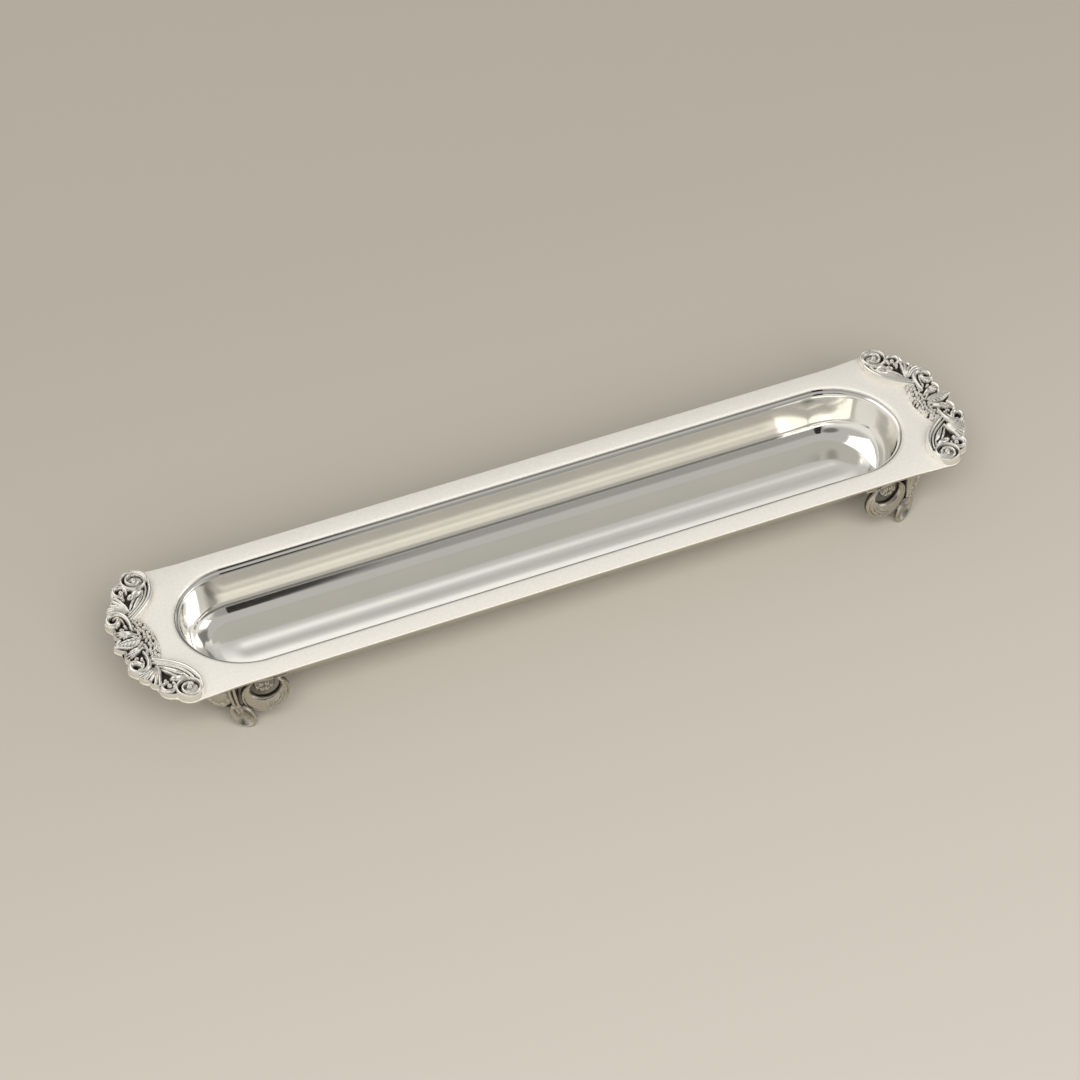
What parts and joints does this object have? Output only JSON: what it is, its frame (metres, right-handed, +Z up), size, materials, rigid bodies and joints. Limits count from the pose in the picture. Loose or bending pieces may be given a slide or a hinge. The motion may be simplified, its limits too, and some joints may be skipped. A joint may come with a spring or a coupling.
{
  "type": "match tray",
  "caption": "Long narrow silver tray with a deep round-ended well for long matches, cast scroll and leaf borders on its ends, and low scroll feet.",
  "frame": {"origin": "on the table, under the middle of the tray", "axes": "+X along the tray, +Y towards its back, +Z up"},
  "size_m": [0.2504, 0.0518, 0.0198],
  "materials": {
    "pressed_silver": "polished silver, with a satin flange",
    "cast_silver_mounts": "cast silver with oxidised recesses",
    "cast_silver_feet": "cast silver, softly polished"
  },
  "bodies": {
    "root": {"tray_plate": "pressed_silver", "left_end_mount": "cast_silver_mounts", "right_end_mount": "cast_silver_mounts", "front_left_foot": "cast_silver_feet", "front_right_foot": "cast_silver_feet", "back_left_foot": "cast_silver_feet", "back_right_foot": "cast_silver_feet"}
  },
  "joints": []
}
